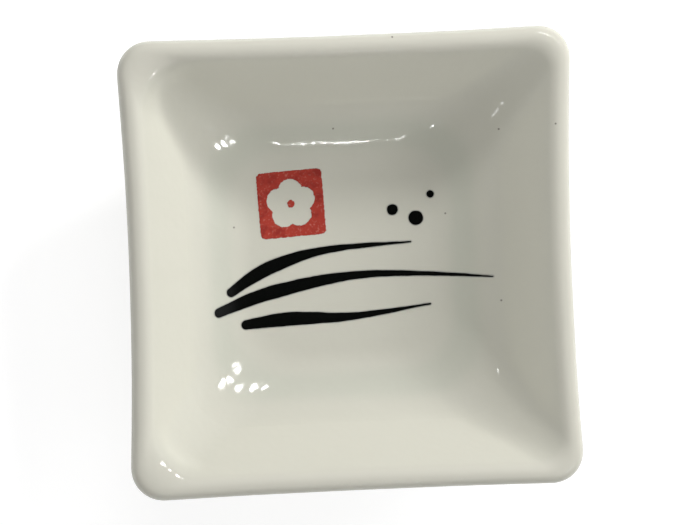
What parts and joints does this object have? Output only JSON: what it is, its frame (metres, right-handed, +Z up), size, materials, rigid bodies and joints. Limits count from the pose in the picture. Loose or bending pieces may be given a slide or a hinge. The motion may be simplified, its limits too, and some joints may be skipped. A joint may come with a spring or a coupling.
{
  "type": "soy sauce dish",
  "caption": "Square porcelain soy sauce dish with a flat floor, sloping walls, a soft rounded lip and a square foot ring; glazed white, with black brush marks and a red stamp inside.",
  "frame": {"origin": "on the table, under the middle of the foot ring", "axes": "+Z up out of the dish, +X to the right and +Y away from a person who reads the brushwork upright"},
  "size_m": [0.0898, 0.0904, 0.024],
  "materials": {
    "clay": "bare fired clay, fine and matte",
    "glaze": "glossy ivory white glaze",
    "ink": "black brush colour under gloss",
    "stamp_red": "red stamped colour under gloss, slightly grainy"
  },
  "bodies": {
    "root": {"clay_body": "clay", "glaze_coat": "glaze", "base_glaze": "glaze", "ink_blade_long": "ink", "ink_blade_upper": "ink", "ink_blade_lower": "ink", "ink_dots": "ink", "seal_stamp": "stamp_red"}
  },
  "joints": []
}
